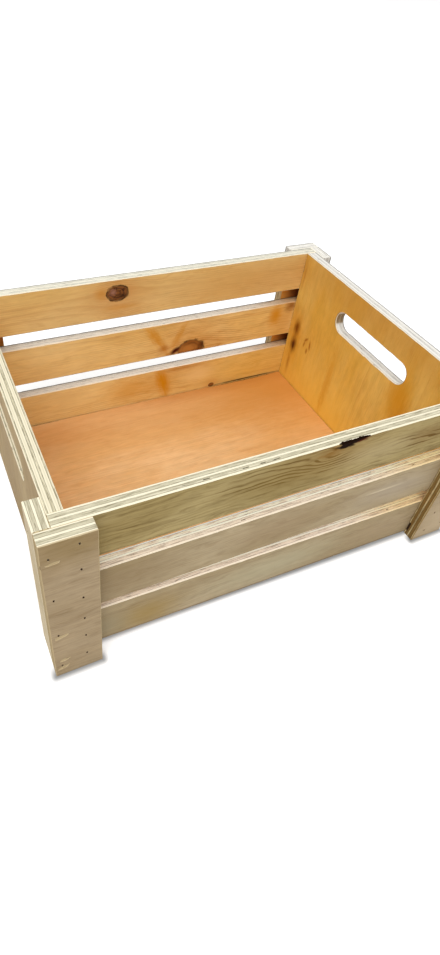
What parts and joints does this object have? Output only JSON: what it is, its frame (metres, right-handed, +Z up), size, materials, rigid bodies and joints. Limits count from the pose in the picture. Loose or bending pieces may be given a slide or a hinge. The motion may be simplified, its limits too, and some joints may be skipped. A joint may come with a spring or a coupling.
{
  "type": "toy box",
  "caption": "Open plywood toy box with slatted long walls, solid ends pierced by oval hand slots, L-shaped corner posts that form its feet, and an inset floor.",
  "frame": {"origin": "on the ground below the middle of the box", "axes": "+X along the slats to the right end, +Y from the front wall to the back wall, +Z up"},
  "size_m": [0.424, 0.324, 0.18],
  "materials": {
    "slat_plywood": "unfinished softwood plywood, pale veneer and bare ply edges",
    "end_panel_plywood": "unfinished softwood plywood, warm veneer and bare ply edges",
    "post_plywood": "unfinished softwood plywood, greyish veneer and bare ply edges",
    "floor_plywood": "thin reddish plywood with a fine straight grain",
    "brad_steel": "dull coated steel wire"
  },
  "bodies": {
    "root": {"front_slat_low": "slat_plywood", "front_slat_middle": "slat_plywood", "front_slat_top": "slat_plywood", "back_slat_low": "slat_plywood", "back_slat_middle": "slat_plywood", "back_slat_top": "slat_plywood", "left_end_panel": "end_panel_plywood", "right_end_panel": "end_panel_plywood", "post_face_board_front_left": "post_plywood", "post_side_board_front_left": "post_plywood", "post_face_board_front_right": "post_plywood", "post_side_board_front_right": "post_plywood", "post_face_board_back_left": "post_plywood", "post_side_board_back_left": "post_plywood", "post_face_board_back_right": "post_plywood", "post_side_board_back_right": "post_plywood", "floor_panel": "floor_plywood", "post_brads_front_left": "brad_steel", "post_brads_front_right": "brad_steel", "post_brads_back_left": "brad_steel", "post_brads_back_right": "brad_steel", "slat_brads_front": "brad_steel", "slat_brads_back": "brad_steel", "floor_brads": "brad_steel"}
  },
  "joints": []
}
